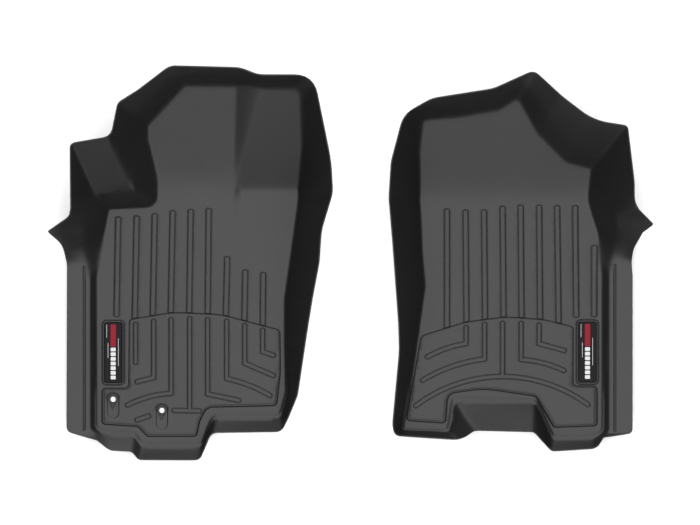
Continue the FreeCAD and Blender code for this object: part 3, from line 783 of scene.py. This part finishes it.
class Triangulator:
    """Collects the points and the lines of one liner's plan."""

    def __init__(self, skin):
        self.skin = skin
        self.points = []
        self.edges = []

    def add_line(self, line, closed):
        first = len(self.points)
        self.points.extend([(float(p[0]), float(p[1])) for p in line])
        count = len(line)
        for i in range(count - 1):
            self.edges.append((first + i, first + i + 1))
        if closed:
            self.edges.append((first + count - 1, first))

    def add_contours(self, distance, levels, low, high, step=0.8):
        """The field's contours at some levels, inside a box."""
        xs = np.arange(low[0], high[0], step)
        ys = np.arange(low[1], high[1], step)
        grid_x, grid_y = np.meshgrid(xs, ys)
        values = distance(grid_x, grid_y)
        for level in levels:
            for line in contours(values, level, low[0], low[1], step):
                line = thinned(line, 0.05, 9.0)
                if len(line) < 3:
                    continue
                closed = float(np.hypot(*(line[0] - line[-1]))) < 1e-6
                self.add_line(line[:-1] if closed else line, closed)

    def add_fill(self, rim):
        """Points in the open areas, closer together where the skin is curved."""
        tree = KDTree(len(self.points))
        for i, p in enumerate(self.points):
            tree.insert((p[0], p[1], 0.0), i)
        tree.balance()
        low = rim.min(axis=0)
        high = rim.max(axis=0)
        taken = []
        cells_x = np.arange(low[0], high[0] + 4.0, 4.0)
        cells_y = np.arange(low[1], high[1] + 4.0, 4.0)
        edge_map = line_distance(rim, *np.meshgrid(cells_x, cells_y), closed=True) > 4.6
        for spacing, floor_bend, top_bend in (
            (2.4, 0.030, 1e9),
            (4.0, 0.006, 0.030),
            (9.0, -1.0, 0.006),
        ):
            row_step = spacing * math.sqrt(3) / 2
            rows = int((high[1] - low[1]) / row_step) + 1
            columns = int((high[0] - low[0]) / spacing) + 1
            j, i = np.meshgrid(np.arange(columns), np.arange(rows))
            x = low[0] + (j + 0.5 * (i % 2)) * spacing
            y = low[1] + i * row_step
            x = x.ravel()
            y = y.ravel()
            bend = self.skin.bend(x, y)
            keep = inside(rim, x, y) & (bend > floor_bend) & (bend <= top_bend)
            keep &= edge_map[
                np.clip(((y - low[1]) / 4.0 + 0.5).astype(int), 0, edge_map.shape[0] - 1),
                np.clip(((x - low[0]) / 4.0 + 0.5).astype(int), 0, edge_map.shape[1] - 1),
            ]
            for a, b in zip(x[keep], y[keep]):
                if tree.find((a, b, 0.0))[2] > 0.42 * spacing:
                    taken.append((float(a), float(b)))
        self.points.extend(taken)

    def solve(self):
        result = delaunay_2d_cdt(
            [Vector(p) for p in self.points], self.edges, [], 0, 1e-5
        )
        verts = np.array([(v.x, v.y) for v in result[0]])
        faces = np.array(result[2])
        return verts, faces


def rim_points(loop, spacing):
    """Even points along a closed loop."""
    closed = np.vstack([loop[:, :2], loop[:1, :2]])
    steps = np.hypot(*np.diff(closed, axis=0).T)
    along = np.concatenate([[0.0], np.cumsum(steps)])
    count = int(along[-1] / spacing)
    where = np.linspace(0.0, along[-1], count, endpoint=False)
    return np.column_stack(
        [np.interp(where, along, closed[:, 0]), np.interp(where, along, closed[:, 1])]
    )


def shrunk(loop, amount):
    """The loop moved inwards, without its crossings; it runs anticlockwise."""
    ahead = np.roll(loop, -1, axis=0) - np.roll(loop, 1, axis=0)
    ahead = ahead / np.hypot(ahead[:, 0], ahead[:, 1])[:, None]
    moved = loop + amount * np.column_stack([-ahead[:, 1], ahead[:, 0]])
    gap = line_distance(loop, moved[:, 0], moved[:, 1], closed=True)
    return moved[(gap > 0.93 * amount) & inside(loop, moved[:, 0], moved[:, 1])]


def ring(centre, radius, count):
    angles = np.linspace(0.0, 2 * math.pi, count, endpoint=False)
    return np.column_stack(
        [centre[0] + radius * np.cos(angles), centre[1] + radius * np.sin(angles)]
    )


def boundary_loops(faces):
    """The directed edges that only one face has, joined into loops."""
    ahead = {}
    seen = set()
    for a, b, c in faces:
        for pair in ((a, b), (b, c), (c, a)):
            seen.add(pair)
    for a, b in seen:
        if (b, a) not in seen:
            ahead[a] = b
    loops = []
    while ahead:
        start = next(iter(ahead))
        loop = [start]
        here = ahead.pop(start)
        while here != start:
            loop.append(here)
            here = ahead.pop(here)
        loops.append(loop)
    return loops


def liner_mesh(name, plan, settings):
    """The closed sheet: the top skin, its underside and the rounded trimmed edges."""
    skin = Skin(plan, settings)
    work = Triangulator(skin)
    rim = rim_points(skin.trim, 3.0)
    work.add_line(rim, True)
    work.add_line(shrunk(rim, 1.8), True)
    holes = [ring(hole, HOLE_RADIUS, 28) for hole in plan["holes"]]
    for hole in holes:
        work.add_line(hole, True)
    res_low = skin.reservoir_line.min(axis=0) - 6
    res_high = skin.reservoir_line.max(axis=0) + 6
    work.add_contours(
        skin.reservoir_edge, (1.0, 0.33, -0.33, -1.0, -1.6, -2.3), res_low, res_high
    )
    work.add_contours(skin.pan_ribs, RIB_LEVELS, res_low, res_high)
    work.add_contours(skin.long_ribs, RIB_LEVELS, (50.0, 240.0), (400.0, 490.0))
    bx, by = plan["badge_at"]
    reach = RING + 6.0
    work.add_contours(
        skin.badge_frame,
        (0.0, 0.45, 0.9, RING - 1.6, RING - 0.9, RING - 0.2, RING + 0.2, RING + 0.9, RING + 1.6),
        (bx - BADGE_WIDTH / 2 - reach, by - BADGE_LENGTH / 2 - reach),
        (bx + BADGE_WIDTH / 2 + reach, by + BADGE_LENGTH / 2 + reach),
    )
    (gx, rear), (_, front) = plan["groove"]
    reach = GROOVE_WIDTH + 3.4
    low = (gx - reach, rear - reach)
    high = (gx + reach, front + reach)
    work.add_contours(skin.groove, (GROOVE_WIDTH, 2.4, 1.2, 0.3), low, high)
    for hole in plan["holes"]:
        low = (hole[0] - 16.0, hole[1] - 42.0)
        high = (hole[0] + 16.0, hole[1] + 16.0)
        work.add_contours(
            partial(skin.well, hole), (2.6, 1.8, 0.9, 0.2, -0.5, -1.4), low, high
        )
        work.add_contours(partial(skin.collar_edge, hole), (0.3, -0.3, -0.9), low, high, 0.6)
        work.add_contours(partial(skin.notch, hole), (0.5, -0.2, -0.8), low, high, 0.5)
    work.add_fill(rim)
    plan_points, faces = work.solve()
    centres = plan_points[faces].mean(axis=1)
    keep = inside(rim, centres[:, 0], centres[:, 1])
    for hole in holes:
        keep &= ~inside(hole, centres[:, 0], centres[:, 1])
    faces = faces[keep]
    a = plan_points[faces[:, 0]]
    b = plan_points[faces[:, 1]]
    c = plan_points[faces[:, 2]]
    area = (b[:, 0] - a[:, 0]) * (c[:, 1] - a[:, 1]) - (b[:, 1] - a[:, 1]) * (c[:, 0] - a[:, 0])
    faces = np.where((area < 0)[:, None], faces[:, ::-1], faces)
    on_rim = line_distance(rim, plan_points[:, 0], plan_points[:, 1], closed=True) < 1e-3
    faces = faces[~(on_rim[faces].all(axis=1) & (np.abs(area) < 0.01))]

    used = np.unique(faces)
    renumber = np.full(len(plan_points), -1)
    renumber[used] = np.arange(len(used))
    plan_points = plan_points[used]
    faces = renumber[faces]

    x = plan_points[:, 0]
    y = plan_points[:, 1]
    top = np.column_stack([x, y, skin.height(x, y)])
    out = skin.normal(skin.sample, 1.5, x, y)
    shading = skin.normal(skin.height, 0.25, x, y)
    under = top - out * SHEET
    under[:, 2] = np.maximum(under[:, 2], 0.0)
    count = len(top)
    verts = [top, under]
    polygons = [tuple(f) for f in faces] + [tuple(f[::-1] + count) for f in faces]
    total = 2 * count
    shares = (0.14, 0.5, 0.86)
    for loop in boundary_loops(faces):
        edge = np.array(loop)
        ahead = plan_points[np.roll(edge, -1)] - plan_points[np.roll(edge, 1)]
        outward = np.column_stack([ahead[:, 1], -ahead[:, 0], np.zeros(len(edge))])
        outward /= np.maximum(np.linalg.norm(outward, axis=1), 1e-9)[:, None]
        normal = out[edge]
        outward -= normal * np.sum(outward * normal, axis=1)[:, None]
        outward /= np.maximum(np.linalg.norm(outward, axis=1), 1e-9)[:, None]
        rows = [edge]
        for share in shares:
            bulge = settings.edge_bulge * math.sqrt(1 - (2 * share - 1) ** 2)
            row = top[edge] * (1 - share) + under[edge] * share + outward * bulge
            verts.append(row)
            rows.append(np.arange(total, total + len(edge)))
            total += len(edge)
        rows.append(edge + count)
        for upper, lower in zip(rows[:-1], rows[1:]):
            for k in range(len(edge)):
                m = (k + 1) % len(edge)
                polygons.append((upper[k], lower[k], lower[m], upper[m]))
    verts = np.vstack(verts)
    low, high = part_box(plan["badge"])
    side = plan["side"]
    place_x = (low.x + high.x) / 2 - side * plan["badge_at"][0] * MM
    place_y = (low.y + high.y) / 2 - plan["badge_at"][1] * MM
    world = np.column_stack(
        [place_x + side * verts[:, 0] * MM, place_y + verts[:, 1] * MM, verts[:, 2] * MM]
    )
    if side < 0:
        polygons = [p[::-1] for p in polygons]
    mesh = bpy.data.meshes.new(name)
    mesh.from_pydata(world.tolist(), [], [tuple(int(i) for i in p) for p in polygons])
    mesh.update()
    mesh.shade_smooth()
    normals = np.zeros((len(verts), 3))
    normals[:count] = shading * (side, 1.0, 1.0)
    mesh.normals_split_custom_set_from_vertices(normals.tolist())
    return mesh


# ------------------------------------------------------------------ materials


class Signal:
    """A shader socket that takes part in Python arithmetic."""

    def __init__(self, shader, socket):
        self.shader = shader
        self.socket = socket

    def maths(self, operation, *values):
        return self.shader.node("ShaderNodeMath", {"operation": operation}, *values)

    def __add__(self, other):
        return self.maths("ADD", self, other)

    def __mul__(self, other):
        return self.maths("MULTIPLY", self, other)


class Shader:
    """A material's node tree."""

    def __init__(self, name):
        self.material = bpy.data.materials.new(name)
        self.material.use_nodes = True
        self.tree = self.material.node_tree
        self.tree.nodes.clear()
        self.coords = self.node("ShaderNodeTexCoord", {}, output="Object")

    def node(self, kind, settings, *values, output=0, **named):
        """Adds a node: its settings, then its inputs in order or by name."""
        node = self.tree.nodes.new(kind)
        for key, value in settings.items():
            setattr(node, key, value)
        pairs = list(enumerate(values)) + [(k.replace("_", " "), v) for k, v in named.items()]
        for key, value in pairs:
            socket = node.inputs[key]
            if isinstance(value, Signal):
                self.tree.links.new(value.socket, socket)
            else:
                socket.default_value = value
        return Signal(self, node.outputs[output])

    def colour_mix(self, factor, a, b):
        """Blends from one colour to another."""
        node = self.tree.nodes.new("ShaderNodeMix")
        node.data_type = "RGBA"
        for index, value in ((0, factor), (6, a), (7, b)):
            if isinstance(value, Signal):
                self.tree.links.new(value.socket, node.inputs[index])
            else:
                node.inputs[index].default_value = value
        return Signal(self, node.outputs[2])

    def finish(self, **named):
        """Adds the surface and returns the material."""
        surface = self.node("ShaderNodeBsdfPrincipled", {}, output="BSDF", **named)
        end = self.tree.nodes.new("ShaderNodeOutputMaterial")
        self.tree.links.new(surface.socket, end.inputs["Surface"])
        return self.material


def noise(shader, scale, detail=2.0, roughness=0.5):
    return shader.node(
        "ShaderNodeTexNoise", {}, output="Fac",
        Vector=shader.coords, Scale=scale, Detail=detail, Roughness=roughness,
    )


def opaque(colour, factor=1.0):
    return (colour[0] * factor, colour[1] * factor, colour[2] * factor, 1.0)


def sheet_material(settings):
    """Black thermoplastic with a moulded pebble grain."""
    shader = Shader("grained_black_tpo")
    cells = 1000.0 / settings.grain
    pebbles = shader.node(
        "ShaderNodeTexVoronoi", {"feature": "SMOOTH_F1"}, output="Distance",
        Vector=shader.coords, Scale=cells, Smoothness=0.7,
    )
    fine = noise(shader, cells * 2.2, 3.0, 0.6)
    broad = noise(shader, 9.0, 3.0, 0.55)
    patchy = noise(shader, 120.0, 2.0, 0.5)
    height = pebbles * 0.9 + fine * 0.5
    bump = shader.node(
        "ShaderNodeBump", {}, output="Normal",
        Strength=0.55, Distance=0.00018, Height=height,
    )
    shade = broad * 0.5 + patchy * 0.3 + pebbles * 0.2
    colour = shader.colour_mix(
        shade, opaque(settings.colour, 0.75), opaque(settings.colour, 1.25)
    )
    rough = broad * 0.10 + fine * 0.08 + (settings.roughness - 0.09)
    return shader.finish(
        Base_Color=colour, Roughness=rough, Specular_IOR_Level=0.42, Normal=bump
    )


def moulded_material(name, colour, gloss):
    """A smooth moulded plastic with faint flow marks."""
    shader = Shader(name)
    flow = noise(shader, 400.0, 2.0, 0.5)
    fine = noise(shader, 3000.0, 1.0, 0.5)
    bump = shader.node(
        "ShaderNodeBump", {}, output="Normal", Strength=0.15, Distance=0.00005, Height=fine
    )
    tint = shader.colour_mix(flow, opaque(colour, 0.88), opaque(colour, 1.1))
    return shader.finish(
        Base_Color=tint, Roughness=flow * 0.06 + 0.32,
        Specular_IOR_Level=gloss, Normal=bump,
    )


def foam_material():
    """Grey closed-cell foam tape."""
    shader = Shader("tape_foam")
    cells = shader.node(
        "ShaderNodeTexVoronoi", {}, output="Distance", Vector=shader.coords, Scale=3500.0
    )
    bump = shader.node(
        "ShaderNodeBump", {}, output="Normal", Strength=0.6, Distance=0.0001, Height=cells
    )
    colour = shader.colour_mix(cells, (0.05, 0.05, 0.055, 1.0), (0.12, 0.12, 0.125, 1.0))
    return shader.finish(Base_Color=colour, Roughness=0.9, Normal=bump)


def studio_material():
    """Matt white paper sweep."""
    shader = Shader("paper_sweep")
    speckle = noise(shader, 60.0, 2.0, 0.5)
    colour = shader.colour_mix(speckle, (0.90, 0.90, 0.90, 1.0), (0.92, 0.92, 0.92, 1.0))
    return shader.finish(
        Base_Color=colour, Roughness=0.9, Specular_IOR_Level=0.2,
        Emission_Color=(1.0, 1.0, 1.0, 1.0), Emission_Strength=0.12,
    )


# ------------------------------------------------------------------ the stage, in m

SOFTBOX_PLACE = (0.0, 1.6, 1.5)
SOFTBOX_SIZE = (3.0, 9.2)
FLOOR_SIZE = 30.0
FLOOR_GAP = 0.0005
CAMERA_HEIGHT = 40.0

# ------------------------------------------------------------------ operators


def settings_of(context):
    scene = context.scene
    return scene.liner_settings, scene.badge_settings, scene.stage_settings


def place_piece(mesh, name, body, slot_name, material, *nodes):
    obj = bpy.data.objects.new(name, mesh)
    bpy.context.scene.collection.objects.link(obj)
    mesh.materials.append(material)
    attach(obj, body)
    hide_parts(*nodes)
    return obj


class LINERS_OT_sheets(bpy.types.Operator):
    """Models the two formed sheets with their tread, reservoirs and walls"""

    bl_idname = "liners.sheets"
    bl_label = "Formed sheets"

    def execute(self, context):
        liner, _, _ = settings_of(context)
        material = sheet_material(liner)
        for who, plan in PLANS.items():
            mesh = liner_mesh(who + "_sheet", plan, liner)
            place_piece(mesh, who + "_sheet", who + "_mat", "liner_black", material, plan["node"])
        return {"FINISHED"}


class LINERS_OT_badges(bpy.types.Operator):
    """Gives the badge plates, inlays and tapes their finishes"""

    bl_idname = "liners.badges"
    bl_label = "Badges"

    def execute(self, context):
        _, badge, _ = settings_of(context)
        finishes = {
            "badge_plate": moulded_material("badge_black_satin", badge.plate_colour, 0.10),
            "badge_emblem": moulded_material("badge_red_gloss", badge.emblem_colour, 0.10),
            "badge_bars": moulded_material("badge_white_gloss", badge.bar_colour, 0.3),
            "badge_tape": foam_material(),
        }
        for who in PLANS:
            for part, material in finishes.items():
                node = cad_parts[who + "_" + part]
                node.data.materials.clear()
                node.data.materials.append(material)
        return {"FINISHED"}


class LINERS_OT_stage(bpy.types.Operator):
    """Builds the pale floor, the softbox and the overhead camera"""

    bl_idname = "liners.stage"
    bl_label = "Stage"

    def execute(self, context):
        _, _, stage = settings_of(context)
        scene = context.scene
        bpy.ops.object.select_all(action="DESELECT")
        bpy.ops.mesh.primitive_plane_add(size=FLOOR_SIZE, location=(0, 0, -FLOOR_GAP))
        floor = context.active_object
        floor.name = "paper_floor"
        bpy.ops.object.transform_apply(location=True, rotation=False, scale=False)
        floor.data.materials.append(studio_material())

        bpy.ops.object.light_add(type="AREA", location=SOFTBOX_PLACE)
        key = context.active_object
        key.name = "overhead_softbox"
        key.data.shape = "RECTANGLE"
        key.data.size, key.data.size_y = SOFTBOX_SIZE
        key.data.energy = stage.key_power
        key.visible_camera = False

        world = bpy.data.worlds.new("room")
        world.use_nodes = True
        background = world.node_tree.nodes["Background"]
        background.inputs["Color"].default_value = (0.95, 0.97, 1.0, 1.0)
        background.inputs["Strength"].default_value = stage.world
        scene.world = world

        data = bpy.data.cameras.new("overhead_camera")
        camera = bpy.data.objects.new("overhead_camera", data)
        scene.collection.objects.link(camera)
        data.sensor_width = 36.0
        data.lens = stage.lens
        data.clip_end = 5.0 * CAMERA_HEIGHT
        camera.location = (0.0, 0.0, CAMERA_HEIGHT)
        scene.camera = camera
        scene.view_settings.view_transform = "Standard"
        return {"FINISHED"}


class LINERS_PT_panel(bpy.types.Panel):
    """Lists the steps in the sidebar"""

    bl_idname = "LINERS_PT_panel"
    bl_label = "Floor Liners"
    bl_space_type = "VIEW_3D"
    bl_region_type = "UI"
    bl_category = "Floor Liners"

    def draw(self, context):
        for operator in OPERATORS:
            self.layout.operator(operator.bl_idname)


OPERATORS = (LINERS_OT_sheets, LINERS_OT_badges, LINERS_OT_stage)
CLASSES = (LinerSettings, BadgeSettings, StageSettings, *OPERATORS, LINERS_PT_panel)


def register():
    for cls in CLASSES:
        bpy.utils.register_class(cls)
    bpy.types.Scene.liner_settings = bpy.props.PointerProperty(type=LinerSettings)
    bpy.types.Scene.badge_settings = bpy.props.PointerProperty(type=BadgeSettings)
    bpy.types.Scene.stage_settings = bpy.props.PointerProperty(type=StageSettings)


def unregister():
    del bpy.types.Scene.liner_settings
    del bpy.types.Scene.badge_settings
    del bpy.types.Scene.stage_settings
    for cls in reversed(CLASSES):
        bpy.utils.unregister_class(cls)


def main():
    register()
    bpy.ops.liners.sheets()
    bpy.ops.liners.badges()
    bpy.ops.liners.stage()


if __name__ == "__main__":
    main()
